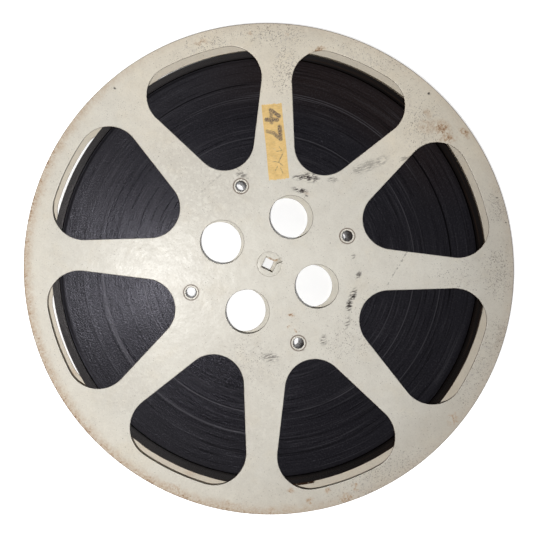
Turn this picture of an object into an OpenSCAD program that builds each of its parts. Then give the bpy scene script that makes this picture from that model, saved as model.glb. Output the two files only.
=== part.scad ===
// Cine film reel for 16 mm film, nearly full, lying on its rear face.
// Z is the spindle axis, the front face is up, and the origin is under the centre.
// X and Y run through the finger holes, so the rivets lie on the diagonals.

/* [Flanges] */
// Diameter of each flange
flange_d = 311; // [300:1:330]
// Thickness of the flange sheet
flange_t = 1; // [0.8:0.1:1.6]
// Width of the plain rim outside the windows
rim_w = 13; // [8:0.5:20]

/* [Windows] */
// Windows in each flange
window_count = 8; // [6:1:9]
// Width of flange between the core and a window's inner end
window_margin = 2.7; // [1:0.1:8]
// Width of a spoke at the windows' inner ends
spoke_in_w = 27.8; // [24:0.2:32]
// Width of a spoke at the windows' outer ends
spoke_out_w = 15.7; // [10:0.1:20]
// Radius of a window's two outer corners
window_corner_r = 20; // [10:0.5:24]

/* [Finger holes] */
// Diameter of a finger hole
finger_d = 27.7; // [20:0.1:30]
// Diameter of the circle that the finger holes lie on
finger_circle_d = 66; // [62:0.5:70]

/* [Spindle] */
// Width of the square spindle hole
square_w = 8.1; // [7:0.1:9.5]
// Width of the keyway at one corner of the square
key_w = 3; // [2:0.1:4]
// Depth of the keyway past the square's corner
key_depth = 2.5; // [1:0.1:3]
// Outer diameter of a bush's boss
bush_d = 15.4; // [13.2:0.1:20]
// Height of the bush above the flange face
bush_proud = 0.15; // [0:0.05:0.4]
// Width of the bush's shoulder behind the flange
shoulder_w = 2.2; // [1:0.1:4]
// Thickness of the bush's shoulder
shoulder_t = 1; // [0.6:0.1:2]

/* [Core] */
// Outer diameter of the core band
core_d = 123.8; // [115:0.2:130]
// Thickness of the core sheet
core_t = 1; // [0.8:0.1:2]
// Gap at the band's seam, where the film's inner end is tucked in
seam_w = 2.5; // [1.5:0.1:5]
// Angle of the seam
seam_angle = 22.5; // [15:0.5:27]
// Half the width of an ear that takes a rivet
ear_r = 7; // [6:0.1:8]

/* [Rivets] */
// Distance from the core's outside to a rivet's centre
rivet_inset = 9.2; // [8.5:0.1:11]
// Bore of a hollow rivet
rivet_bore_d = 6.6; // [5.5:0.1:7.2]
// Wall of a hollow rivet
rivet_wall = 0.5; // [0.4:0.05:0.8]
// Width of the rolled rim outside the rivet's tube
rivet_rim_w = 1; // [0.8:0.05:1.5]
// Height of the rolled rim above the flange face
rivet_rim_h = 0.5; // [0.4:0.05:0.7]

/* [Film] */
// Width of the film
film_w = 16; // [15:0.1:18]
// Room between the film's edge and a flange
film_room = 0.5; // [0.4:0.05:1]
// Outer diameter of the wound film
film_d = 276.4; // [260:0.2:284]
// Thickness of the drawn strip
film_t = 0.6; // [0.4:0.05:0.8]
// Loops of the loose outer winding
loop_count = 4; // [2:1:4]
// Gap between two loops of the outer winding
loop_gap = 0.5; // [0.45:0.05:0.8]
// Angle of the film's free end
tail_angle = 306.5; // [300:0.5:315]
// Arc of the free end that lifts off the roll
tail_arc = 16.5; // [10:0.5:30]
// Width of the step where the roll's outside is drawn in
groove_w = 1.5; // [1:0.1:3]
// Depth of that step
groove_depth = 1; // [0.4:0.1:2]
// Height of the turns that stand out of the roll's face
ridge_h = 0.2; // [0.1:0.05:0.3]
// Width of such a group of turns
ridge_w = 0.8; // [0.4:0.1:2]
// Length of the film's inner end inside the core
head_l = 6; // [3:0.5:10]

/* [Label] */
// Length of the tape label
label_l = 48.7; // [30:0.1:55]
// Width of the tape label
label_w = 13; // [9:0.1:15]
// Thickness of the tape
label_t = 0.15; // [0.1:0.01:0.3]
// Distance from the reel's centre to the label's centre
label_r = 78.3; // [75:0.1:90]
// Angle at which the label's centre lies
label_angle = 112; // [110:0.1:115]
// Angle that the label is turned away from its spoke
label_turn = 8.7; // [0:0.1:12]

/* [Fits] */
// Radial clearance of a piece in the hole that holds it
fit = 0.05; // [0.02:0.01:0.1]
// Room between the film's loose pieces and the roll
film_clear = 0.3; // [0.2:0.05:0.5]

/* [Hidden] */
$fn = 96;
loop_points = 72;
cut_over = 1;
paint_colour = [0.80, 0.78, 0.73];
bare_colour = [0.45, 0.44, 0.43];
film_colour = [0.10, 0.10, 0.12];
leader_colour = [0.16, 0.11, 0.08];
tape_colour = [0.86, 0.72, 0.42];

flange_r = flange_d / 2;
core_r = core_d / 2;
film_r = film_d / 2;

// Heights, from the rear rivet rims upwards
rear_face_z = rivet_rim_h;
rear_inner_z = rear_face_z + flange_t;
film_z = rear_inner_z + film_room;
front_inner_z = film_z + film_w + film_room;
front_face_z = front_inner_z + flange_t;
top_z = front_face_z + rivet_rim_h;

// Pattern of holes
rivet_count = 4;
rivet_step = 360 / rivet_count;
rivet_circle_r = core_r - rivet_inset;
rivet_bore_r = rivet_bore_d / 2;
rivet_tube_r = rivet_bore_r + rivet_wall;
key_tip_r = square_w / sqrt(2) + key_depth;
bush_r = max(bush_d / 2, square_w / sqrt(2) + 0.8);
shoulder_r = max(bush_r + shoulder_w, key_tip_r + 0.8);

// A window's two sides lean against its centre line, which is the X axis
window_step = 360 / window_count;
window_in_r = core_r + window_margin;
window_out_r = flange_r - rim_w;
spoke_taper = (spoke_in_w - spoke_out_w) / 2 / (window_out_r - window_in_r);
side_angle = window_step / 2 + atan(spoke_taper);
side_offset = spoke_in_w / 2 + spoke_taper * window_in_r;
apex_x = side_offset / (sin(window_step / 2) + spoke_taper * cos(window_step / 2));
// The inner end is one full round that touches both sides
round_r = (window_in_r - apex_x) / (1 / sin(side_angle) - 1);
round_x = window_in_r + round_r;
// An outer corner touches a side and the arc of the outer edge
corner_line = -apex_x * tan(side_angle) - window_corner_r / cos(side_angle);
corner_a = 1 + tan(side_angle) ^ 2;
corner_b = 2 * tan(side_angle) * corner_line;
corner_c = corner_line ^ 2 - (window_out_r - window_corner_r) ^ 2;
corner_x = (-corner_b + sqrt(corner_b ^ 2 - 4 * corner_a * corner_c)) / (2 * corner_a);
corner_y = corner_x * tan(side_angle) + corner_line;

// The loose outer winding is one ribbon whose radius grows by a pitch each loop
loop_pitch = film_t + loop_gap;
winding_in_r = film_r - film_t - loop_count * loop_pitch;
roll_r = winding_in_r - film_clear;
roll_in_r = core_r + fit;
tail_root_angle = tail_angle - tail_arc;
winding_end_angle = tail_root_angle - film_clear / film_r * 180 / PI;
winding_steps = loop_count * loop_points;
function loop_angle(i) = winding_end_angle + (i - winding_steps) * 360 / loop_points;
function loop_r(i) = winding_in_r + i / loop_points * loop_pitch;
function on_circle(r, a) = [r * cos(a), r * sin(a)];
winding_inside = [for (i = [0:winding_steps]) on_circle(loop_r(i), loop_angle(i))];
winding_outside = [for (i = [0:winding_steps]) on_circle(loop_r(i) + film_t, loop_angle(i))];
least_gap = min([for (i = [0:winding_steps - loop_points])
    min([for (j = [i + loop_points / 2:winding_steps]) norm(winding_inside[j] - winding_outside[i])])]);
echo(str("Least gap between loops of the outer winding: ", least_gap, " mm"));

// Places in the roll's depth where a group of turns stands out, as shares of it
ridge_places = [0.24, 0.42, 0.64, 0.78];

// One window, on the X axis
module window_shape() {
    side = [-sin(side_angle), cos(side_angle)];
    round_touch = [round_x, 0] + round_r * side;
    corner = [corner_x, corner_y];
    corner_touch = corner + window_corner_r * side;
    flip = [1, -1];
    translate([round_x, 0]) circle(round_r);
    for (s = [-1, 1]) translate([corner_x, s * corner_y]) circle(window_corner_r);
    polygon([[round_touch.x, -round_touch.y], round_touch, corner_touch, corner,
        [corner.x, -corner.y], [corner_touch.x, -corner_touch.y]]);
    intersection() {
        circle(window_out_r, $fn = 360);
        polygon([corner, 2 * corner, [2 * corner.x, -2 * corner.y], [corner.x, -corner.y]]);
    }
}

// The keyway at one corner of the square
module keyway() {
    rotate(rivet_step / 2) translate([0, -key_w / 2]) square([key_tip_r, key_w]);
}

// Everything that is punched out of a flange
module flange_holes(keyed) {
    for (i = [0:window_count - 1]) rotate(i * window_step) window_shape();
    for (i = [0:rivet_count - 1]) rotate(i * rivet_step) {
        translate([finger_circle_d / 2, 0]) circle(d = finger_d);
        rotate(rivet_step / 2) translate([rivet_circle_r, 0]) circle(rivet_tube_r + fit);
    }
    circle(bush_r + fit);
    if (keyed) keyway();
}

// A flange lying on the plane Z = 0, with its outer edge rounded
module flange(keyed) {
    color(paint_colour) difference() {
        rotate_extrude($fn = 360) {
            square([flange_r - flange_t / 2, flange_t]);
            translate([flange_r - flange_t / 2, flange_t / 2]) circle(d = flange_t, $fn = 24);
        }
        translate([0, 0, -cut_over]) linear_extrude(flange_t + 2 * cut_over) flange_holes(keyed);
    }
}

module front_flange() {
    translate([0, 0, front_inner_z]) flange(true);
}

module rear_flange() {
    translate([0, 0, rear_face_z]) flange(false);
}

// An ear of the core, bent in flat against a flange, with its rivet hole
module ear() {
    linear_extrude(core_t) difference() {
        intersection() {
            circle(core_r - core_t / 2);
            union() {
                translate([rivet_circle_r, 0]) circle(ear_r);
                translate([rivet_circle_r, -ear_r]) square([rivet_inset, 2 * ear_r]);
            }
        }
        translate([rivet_circle_r, 0]) circle(rivet_tube_r + fit);
    }
}

// The core is a band rolled from sheet, open at its seam, with ears at both edges
module core_drum() {
    band_h = front_inner_z - rear_inner_z;
    color(paint_colour) translate([0, 0, rear_inner_z]) {
        difference() {
            rotate_extrude($fn = 180) translate([core_r - core_t, 0]) square([core_t, band_h]);
            rotate(seam_angle) translate([core_r - core_t - cut_over, -seam_w / 2, -cut_over])
                cube([core_t + 2 * cut_over, seam_w, band_h + 2 * cut_over]);
        }
        for (i = [0:rivet_count - 1]) rotate((i + 0.5) * rivet_step) {
            ear();
            translate([0, 0, band_h - core_t]) ear();
        }
    }
}

// The rolled rim of a rivet, in section, on the flange face at height 0
module rim_section() {
    rim_r = rivet_tube_r + rivet_rim_w;
    intersection() {
        union() {
            translate([rivet_bore_r + rivet_rim_h, 0]) circle(rivet_rim_h, $fn = 32);
            translate([rim_r - rivet_rim_h, 0]) circle(rivet_rim_h, $fn = 32);
            translate([rivet_bore_r + rivet_rim_h, 0])
                square([rim_r - rivet_bore_r - 2 * rivet_rim_h, rivet_rim_h]);
        }
        square([rim_r + cut_over, rivet_rim_h]);
    }
}

// A hollow rivet through both flanges, rolled over at both ends
module rivet(i) {
    color(bare_colour) rotate((i - 0.5) * rivet_step) translate([rivet_circle_r, 0, 0])
        rotate_extrude() {
            translate([rivet_bore_r, rear_face_z]) square([rivet_wall, front_face_z - rear_face_z]);
            translate([0, front_face_z]) rim_section();
            translate([0, rear_face_z]) mirror([0, 1]) rim_section();
        }
}

module rivet_1() {
    rivet(1);
}

module rivet_2() {
    rivet(2);
}

module rivet_3() {
    rivet(3);
}

module rivet_4() {
    rivet(4);
}

// The square hole for the spindle, which has its keyway on one side of the reel only
module spindle_hole(keyed) {
    square(square_w, center = true);
    if (keyed) keyway();
}

// A bush with its outer face up, its shoulder under a flange whose inner face is at height 0
module spindle_bush(keyed) {
    bush_h = flange_t + bush_proud;
    color(paint_colour) difference() {
        rotate_extrude() {
            square([bush_r, bush_h]);
            translate([0, -shoulder_t]) square([shoulder_r, shoulder_t]);
        }
        translate([0, 0, -shoulder_t - cut_over])
            linear_extrude(bush_h + shoulder_t + 2 * cut_over) spindle_hole(keyed);
    }
}

module front_spindle_bush() {
    translate([0, 0, front_inner_z]) spindle_bush(true);
}

// Mirrored, so that the squares of the two bushes line up
module rear_spindle_bush() {
    translate([0, 0, rear_inner_z]) mirror([0, 0, 1]) spindle_bush(false);
}

// The tight roll: its outside steps in, and some turns stand out of its faces
module film_roll() {
    color(film_colour) translate([0, 0, film_z]) rotate_extrude($fn = 360) {
        translate([roll_in_r, 0]) square([roll_r - groove_w - roll_in_r, film_w]);
        translate([roll_in_r, groove_depth]) square([roll_r - roll_in_r, film_w - 2 * groove_depth]);
        for (place = ridge_places)
            translate([roll_in_r + place * (roll_r - roll_in_r), -ridge_h])
                square([ridge_w, film_w + 2 * ridge_h]);
    }
}

// The last loops of film, wound loosely over the roll as one ribbon
module leader_winding() {
    outline = concat(winding_inside, [for (i = [winding_steps:-1:0]) winding_outside[i]]);
    color(leader_colour) translate([0, 0, film_z]) linear_extrude(film_w) polygon(outline);
}

// The free end of the film, which lifts off the roll
module film_tail() {
    color(leader_colour) rotate(tail_root_angle) rotate_extrude(angle = tail_arc, $fn = 360)
        translate([film_r - film_t, film_z]) square([film_t, film_w]);
}

// The inner end of the film, tucked in through the core's seam
module film_head() {
    color(film_colour) rotate(seam_angle) translate([core_r - head_l, -film_t / 2, film_z])
        cube([head_l, film_t, film_w]);
}

// A strip of tape on a spoke of the front flange
module tape_label() {
    color(tape_colour) rotate(label_angle) translate([label_r, 0, front_face_z]) rotate(label_turn)
        translate([-label_l / 2, -label_w / 2, 0]) cube([label_l, label_w, label_t]);
}

front_flange();
rear_flange();
core_drum();
rivet_1();
rivet_2();
rivet_3();
rivet_4();
front_spindle_bush();
rear_spindle_bush();
film_roll();
leader_winding();
film_tail();
film_head();
tape_label();
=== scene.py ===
import math
import random

import bpy
from mathutils import Matrix, Vector


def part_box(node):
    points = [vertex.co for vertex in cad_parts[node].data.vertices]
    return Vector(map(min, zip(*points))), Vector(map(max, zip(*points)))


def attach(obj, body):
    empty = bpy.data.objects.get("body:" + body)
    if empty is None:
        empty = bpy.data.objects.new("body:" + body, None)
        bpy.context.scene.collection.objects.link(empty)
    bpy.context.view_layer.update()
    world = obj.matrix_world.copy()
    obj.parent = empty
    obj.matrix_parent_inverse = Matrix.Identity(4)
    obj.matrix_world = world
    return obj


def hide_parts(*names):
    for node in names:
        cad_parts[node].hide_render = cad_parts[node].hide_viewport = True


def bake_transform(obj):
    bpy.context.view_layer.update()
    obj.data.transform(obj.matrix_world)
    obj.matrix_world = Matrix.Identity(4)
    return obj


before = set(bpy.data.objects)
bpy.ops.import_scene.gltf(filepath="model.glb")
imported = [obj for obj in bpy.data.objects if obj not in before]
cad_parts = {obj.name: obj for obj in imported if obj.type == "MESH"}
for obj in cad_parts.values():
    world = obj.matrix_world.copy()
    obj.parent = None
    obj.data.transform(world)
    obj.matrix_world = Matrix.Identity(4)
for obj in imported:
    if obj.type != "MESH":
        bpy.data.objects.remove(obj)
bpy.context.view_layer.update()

bl_info = {
    "name": "Cine film reel",
    "version": (1, 0, 0),
    "blender": (4, 5, 0),
    "location": "3D View > Sidebar > Reel",
    "description": "Builds a worn, nearly full cine film reel around its packed model",
    "category": "Object",
}

MM = 0.001
WELD = 1e-6
UP = (0.0, 0.0, 1.0)
ORIGIN = (0.0, 0.0, 0.0)
WHITE = (1.0, 1.0, 1.0, 1.0)

FRONT_LOW, FRONT_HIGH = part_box("front_flange")
REAR_LOW, REAR_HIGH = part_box("rear_flange")
RIVET_LOW, RIVET_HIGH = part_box("rivet_1")
TAIL_LOW, TAIL_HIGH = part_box("film_tail")
HEAD_LOW, HEAD_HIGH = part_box("film_head")

# Measures of the frame that the finishes need, in mm
RIM_R = FRONT_HIGH.x / MM
FACE_Z = FRONT_HIGH.z / MM
RIVET_XY = (RIVET_LOW.x + RIVET_HIGH.x) / 2 / MM


def length(name, mm):
    """A length that the user can change, given in millimetres."""
    return bpy.props.FloatProperty(name=name, default=mm * MM, unit="LENGTH", precision=5)


def colour(name, red, green, blue):
    """A colour that the user can change."""
    return bpy.props.FloatVectorProperty(
        name=name, default=(red, green, blue, 1.0), subtype="COLOR", size=4, min=0.0, max=1.0)


def angle(name, degrees):
    """An angle that the user can change."""
    return bpy.props.FloatProperty(name=name, default=math.radians(degrees), subtype="ANGLE")


class ReelSizes(bpy.types.PropertyGroup):
    """Sizes of the reel's pieces."""

    flange_r: length("Flange radius", FRONT_HIGH.x / MM)
    edge_round: length("Rounding of the punched edges", 0.45)
    rim_width: length("Rim outside the windows", 13)
    core_r: length("Radius of the core band", 61.9)
    window_count: bpy.props.IntProperty(name="Windows in each flange", default=8, min=3, max=12)
    window_margin: length("From the core to a window", 2.7)
    spoke_in: length("Spoke width at the windows' inner ends", 27.8)
    spoke_out: length("Spoke width at the windows' outer ends", 15.7)
    corner_r: length("Radius of a window's outer corners", 20)
    finger_r: length("Finger hole radius", 13.85)
    finger_circle: length("From the spindle to a finger hole", 33)
    rivet_circle: length("From the spindle to a rivet", 52.7)
    rivet_bore: length("Rivet bore radius", 3.3)
    rivet_tube: length("Rivet tube radius", 3.8)
    rivet_rim: length("Rivet rim radius", 4.8)
    square: length("Width of the square spindle hole", 8.1)
    key_width: length("Width of the keyway at one corner", 3)
    key_tip: length("From the spindle's axis to the keyway's end", 8.2276)
    bush_r: length("Bush radius", 7.7)
    bush_proud: length("Bush height over the flange", 0.15)
    bush_bevel: length("Bevel of the bush's edges", 0.08)
    shoulder: length("Width of the bush's shoulder", 2.2)
    shoulder_t: length("Thickness of the bush's shoulder", 1)
    fit: length("Clearance of a piece in its hole", 0.05)
    roll_in: length("Inner radius of the wound film", 61.95)
    roll_out: length("Outer radius of the tight turns", 132.9)
    ridge: length("Height of a turn that stands out", 0.035)
    groove: length("Width of the step round the roll", 1.6)
    groove_depth: length("Depth of the step round the roll", 1)
    film_low: length("Film's lower edge", TAIL_LOW.z / MM)
    film_high: length("Film's upper edge", TAIL_HIGH.z / MM)
    film_t: length("Film thickness", 0.195)
    loop_start: length("Radius where the loose turns start", 133.3)
    loops: bpy.props.IntProperty(name="Loose turns of film", default=22, min=4)
    slack: length("How far the loose turns stand off", 0.42)
    slack_at: angle("Where the loose turns stand off", 256)
    drawn: length("How far the loose turns are drawn in", 0.40)
    drawn_at: angle("Where the loose turns are drawn in", 150)
    tail_r: length("Radius at which the free end lies", 138.08)
    tail_start: angle("Start of the free end's strip", 280)
    hinge: angle("Where the free end bends off the roll", 290)
    tail_end: angle("End of the film", 306.5)
    flare: length("How far the free end stands off", 0.9)
    pitch: length("From one perforation to the next", 7.62)
    hole_l: length("Perforation along the film", 1.27)
    hole_w: length("Perforation across the film", 1.83)
    hole_edge: length("From the film's edge to a perforation", 0.9)
    tuck: length("Length of film tucked into the core", 6)
    label_l: length("Label length", 48.7)
    label_w: length("Label width", 13)
    label_t: length("Label thickness", 0.12)
    label_r: length("From the spindle to the label", 78.3)
    label_angle: angle("Angle of the label's middle", 112)
    label_turn: angle("Turn of the label against its spoke", 8.7)


class ReelFinish(bpy.types.PropertyGroup):
    """Colours of the reel's finishes."""

    paint: colour("Old stove enamel on the flanges", 0.745, 0.713, 0.634)
    # Yellowed paint that is also lighter: painted light towards the top of the rim
    paint_yellow_and_lit: colour("Yellowed paint at the top", 0.850, 0.780, 0.650)
    # Greasy dirt on the paint, also used as painted shade in the front face's darker patches
    paint_dirt_and_shade: colour("Greasy dirt on the paint", 0.300, 0.260, 0.215)
    # Brown dirt on cut edges, also used as painted shade in the crevices round the rivets
    edge_dirt_and_shade: colour("Brown dirt on cut edges", 0.150, 0.105, 0.078)
    # Near-black: painted shade on cut edges that face one way, and chips down to the steel
    shadow: colour("Blackened cut edges", 0.022, 0.017, 0.015)
    speck: colour("Fine dark specks in the paint", 0.115, 0.085, 0.072)
    bloom: colour("Greyish bloom between the specks", 0.360, 0.325, 0.330)
    blush: colour("Warm tint of patches in the paint", 1.0, 0.950, 0.865)
    rust_pale: colour("Pale rust round a stain", 0.480, 0.315, 0.185)
    rust_dark: colour("Dark rust inside a stain", 0.170, 0.072, 0.034)
    scuff: colour("Black rub marks", 0.060, 0.048, 0.045)
    metal: colour("Dull tin in the rivet bores", 0.075, 0.070, 0.067)
    film: colour("Edges of the dark wound film", 0.0032, 0.0028, 0.0043)
    film_light: colour("Turns that catch more light", 0.060, 0.057, 0.063)
    film_brown: colour("Browner part of the wound film", 0.0068, 0.0031, 0.0021)
    # Near-black for the film's darker lines, and painted shade in deep turns and grooves
    film_black_and_shade: colour("Turns that lie deep", 0.0004, 0.0003, 0.0004)
    leader: colour("Edges of the loose turns", 0.0014, 0.0007, 0.0004)
    # Painted sheen: lighter edges of the loose turns on the side towards the lamp
    leader_sheen: colour("Duller part of the loose turns", 0.0290, 0.0270, 0.0272)
    leader_brown: colour("Brown edges among the loose turns", 0.016, 0.0080, 0.0042)
    leader_face: colour("Face of the free film end", 0.200, 0.095, 0.042)
    tape: colour("Yellowed paper tape", 0.840, 0.590, 0.250)
    tape_dark: colour("Browned creases of the tape", 0.560, 0.360, 0.130)
    tape_pale: colour("Rubbed patches of the tape", 0.75, 0.64, 0.40)
    ink: colour("Faded marker ink", 0.062, 0.052, 0.075)
    floor: colour("Pale floor", 0.90, 0.90, 0.90)


class Nodes:
    """Adds nodes to one shader tree and joins them."""

    def __init__(self, tree):
        self.tree = tree

    def add(self, kind, inputs=None, **settings):
        node = self.tree.nodes.new("ShaderNode" + kind)
        for name, value in settings.items():
            setattr(node, name, value)
        self.feed(node, inputs or {})
        return node

    def feed(self, node, inputs):
        for key, value in inputs.items():
            if isinstance(value, bpy.types.NodeSocket):
                self.tree.links.new(value, node.inputs[key])
            else:
                node.inputs[key].default_value = value

    def math(self, operation, a, b=0.0, clamp=False):
        return self.add("Math", {0: a, 1: b}, operation=operation, use_clamp=clamp).outputs[0]

    def plus(self, a, b):
        return self.math("ADD", a, b)

    def minus(self, a, b):
        return self.math("SUBTRACT", a, b)

    def times(self, a, b):
        return self.math("MULTIPLY", a, b)

    def most(self, a, b):
        return self.math("MAXIMUM", a, b)

    def vector(self, operation, a, b=ORIGIN):
        node = self.add("VectorMath", {0: a, 1: b}, operation=operation)
        is_value = operation in {"LENGTH", "DOT_PRODUCT", "DISTANCE"}
        return node.outputs["Value" if is_value else "Vector"]

    def dot(self, a, b):
        return self.vector("DOT_PRODUCT", a, b)

    def scale(self, vector, factor):
        node = self.add("VectorMath", {0: vector, "Scale": factor}, operation="SCALE")
        return node.outputs["Vector"]

    def remap(self, value, low, high, to_low=0.0, to_high=1.0):
        node = self.add(
            "MapRange", {0: value, 1: low, 2: high, 3: to_low, 4: to_high},
            interpolation_type="SMOOTHSTEP")
        return node.outputs[0]

    def noise(self, point, scale, detail=2.0, roughness=0.5):
        inputs = {"Vector": point, "Scale": scale, "Detail": detail, "Roughness": roughness}
        return self.add("TexNoise", inputs).outputs[0]

    def mix(self, share, a, b, blend_type="MIX"):
        node = self.add("Mix", {0: share, 6: a, 7: b}, data_type="RGBA", blend_type=blend_type)
        return node.outputs[2]

    def split(self, vector):
        return self.add("SeparateXYZ", {0: vector}).outputs

    def join(self, x, y, z=0.0):
        return self.add("CombineXYZ", {0: x, 1: y, 2: z}).outputs[0]

    def use(self, group, inputs=None):
        node = self.add("Group", node_tree=bpy.data.node_groups[group])
        self.feed(node, inputs or {})
        return node.outputs


def start_group(name, inputs, outputs):
    """Starts a node group and gives its nodes, its inputs and its output node."""
    tree = bpy.data.node_groups.new(name, "ShaderNodeTree")
    for direction, sockets in (("INPUT", inputs), ("OUTPUT", outputs)):
        for title, kind in sockets.items():
            tree.interface.new_socket(title, in_out=direction, socket_type="NodeSocket" + kind)
    return Nodes(tree), tree.nodes.new("NodeGroupInput").outputs, tree.nodes.new("NodeGroupOutput")


def place_group():
    """Where a point of the reel lies: in millimetres, and round the spindle."""
    n, _, out = start_group(
        "Reel place", {},
        {"Point": "Vector", "Flat": "Vector", "Radius": "Float", "Round": "Vector",
         "Height": "Float", "Facing": "Float", "Normal": "Vector"})
    coordinates = n.add("TexCoord").outputs
    point = n.scale(coordinates["Object"], 1.0 / MM)
    axes = n.split(point)
    flat = n.join(axes[0], axes[1])
    n.feed(out, {
        "Point": point, "Flat": flat, "Radius": n.vector("LENGTH", flat),
        "Round": n.vector("NORMALIZE", flat), "Height": axes[2],
        "Facing": n.split(coordinates["Normal"])[2], "Normal": coordinates["Normal"]})


def ragged_group():
    """Shifts points about, so that marks get a ragged edge."""
    n, inputs, out = start_group(
        "Ragged point", {"Point": "Vector", "Scale": "Float", "Reach": "Float"},
        {"Point": "Vector"})
    noise = n.add("TexNoise", {
        "Vector": inputs["Point"], "Scale": inputs["Scale"], "Detail": 4.0, "Roughness": 0.65})
    shift = n.vector("SUBTRACT", noise.outputs["Color"], (0.5, 0.5, 0.5))
    n.feed(out, {"Point": n.vector("ADD", inputs["Point"], n.scale(shift, inputs["Reach"]))})


def blot_group():
    """A soft oval blot round a centre."""
    n, inputs, out = start_group(
        "Blot", {"Point": "Vector", "Centre": "Vector", "Size": "Vector", "Turn": "Float"},
        {"Mask": "Float"})
    away = n.vector("SUBTRACT", inputs["Point"], inputs["Centre"])
    turned = n.add(
        "VectorRotate", {"Vector": away, "Angle": inputs["Turn"]},
        rotation_type="Z_AXIS", invert=True).outputs[0]
    reach = n.vector("LENGTH", n.vector("DIVIDE", turned, inputs["Size"]))
    n.feed(out, {"Mask": n.remap(reach, 1.0, 0.3)})


def stroke_group():
    """A straight stroke between two points."""
    n, inputs, out = start_group(
        "Stroke", {"Point": "Vector", "From": "Vector", "To": "Vector", "Width": "Float"},
        {"Mask": "Float"})
    along = n.vector("SUBTRACT", inputs["To"], inputs["From"])
    away = n.vector("SUBTRACT", inputs["Point"], inputs["From"])
    share = n.math("DIVIDE", n.dot(away, along), n.dot(along, along), clamp=True)
    off = n.vector("DISTANCE", away, n.scale(along, share))
    n.feed(out, {"Mask": n.remap(n.math("DIVIDE", off, inputs["Width"]), 1.0, 0.45)})


def ring_group():
    """A part of a ring round the spindle, faded out at its ends."""
    n, inputs, out = start_group(
        "Ring", {"Radius": "Float", "Round": "Vector", "At": "Float", "Width": "Float",
                 "Middle": "Vector", "Reach": "Float"},
        {"Mask": "Float"})
    off = n.math("ABSOLUTE", n.minus(inputs["Radius"], inputs["At"]))
    line = n.remap(n.math("DIVIDE", off, inputs["Width"]), 1.0, 0.2)
    turn = n.math("ARCCOSINE", n.dot(inputs["Round"], inputs["Middle"]))
    part = n.remap(n.math("DIVIDE", turn, inputs["Reach"]), 1.0, 0.6)
    n.feed(out, {"Mask": n.times(line, part)})


def old_paint_group():
    """Tone, specks and grain of old paint on sheet metal."""
    n, inputs, out = start_group(
        "Old paint",
        {"Point": "Vector", "Paint": "Color", "Dirt": "Color", "Blush": "Color", "Speck": "Color",
         "Specks": "Float"},
        {"Color": "Color", "Roughness": "Float", "Height": "Float"})
    point = inputs["Point"]
    broad = n.noise(point, 0.018, 3.0, 0.55)
    cloud = n.noise(point, 0.11, 4.0, 0.6)
    grain = n.noise(point, 1.1, 3.0, 0.6)
    dents = n.noise(point, 0.17, 3.0, 0.55)
    tone = n.plus(n.remap(broad, 0.3, 0.7, 0.0, 0.08), n.remap(cloud, 0.3, 0.75, 0.0, 0.11))
    tone = n.plus(tone, n.remap(grain, 0.3, 0.8, 0.0, 0.14))
    base = n.mix(tone, inputs["Paint"], inputs["Dirt"])
    warm = n.remap(n.noise(point, 0.06, 4.0, 0.65), 0.48, 0.72, 0.0, 0.3)
    base = n.mix(warm, base, inputs["Blush"], "MULTIPLY")
    few = n.minus(n.remap(n.noise(point, 0.05, 3.0), 0.40, 0.64, 0.105, 0.06), inputs["Specks"])
    fine = n.remap(n.minus(n.noise(point, 1.45, 1.0, 0.5), few), 0.615, 0.69)
    coarse = n.remap(n.minus(n.noise(point, 0.6, 2.0, 0.5), few), 0.69, 0.75)
    base = n.mix(n.most(n.times(fine, 0.65), n.times(coarse, 0.5)), base, inputs["Speck"])
    n.feed(out, {
        "Color": base, "Roughness": n.plus(0.27, n.times(tone, 0.35)),
        "Height": n.plus(n.times(grain, 0.5), n.times(dents, 9.0))})


def rust_group():
    """Rust laid over a colour: a pale halo with dark spots inside."""
    n, inputs, out = start_group(
        "Rust", {"Point": "Vector", "Mask": "Float", "Color": "Color", "Pale": "Color",
                 "Dark": "Color"},
        {"Color": "Color"})
    mask = inputs["Mask"]
    crumbs = n.noise(inputs["Point"], 0.85, 4.0, 0.7)
    halo = n.times(mask, n.remap(crumbs, 0.34, 0.6, 0.28, 0.95))
    spots = n.remap(n.plus(crumbs, n.times(mask, 0.30)), 0.76, 0.92)
    dark = n.times(n.times(spots, n.remap(mask, 0.2, 0.6)), 0.7)
    n.feed(out, {"Color": n.mix(dark, n.mix(halo, inputs["Color"], inputs["Pale"]), inputs["Dark"])})


def turns_group():
    """Fine lines of wound film, broken up slowly round the roll."""
    n, inputs, out = start_group(
        "Film turns", {"Radius": "Float", "Round": "Vector", "Point": "Vector"},
        {"Lines": "Float", "Fine": "Float", "Grain": "Float", "Lean": "Float"})
    around = n.split(n.scale(inputs["Round"], 2.6))
    coarse = n.join(n.times(inputs["Radius"], 1.15), around[0], around[1])
    fine = n.join(n.times(inputs["Radius"], 6.0), around[0], around[1])
    n.feed(out, {
        "Lines": n.noise(coarse, 1.0, 2.0, 0.6), "Fine": n.noise(fine, 1.0, 3.0, 0.8),
        "Grain": n.noise(inputs["Point"], 1.0, 1.0, 0.6),
        "Lean": n.dot(inputs["Point"], (0.0, 0.10, 0.0))})


def make_effects():
    """Builds the node groups that the finishes share."""
    if "Reel place" in bpy.data.node_groups:
        return
    for build in (place_group, ragged_group, blot_group, stroke_group, ring_group,
                  old_paint_group, rust_group, turns_group):
        build()


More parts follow.
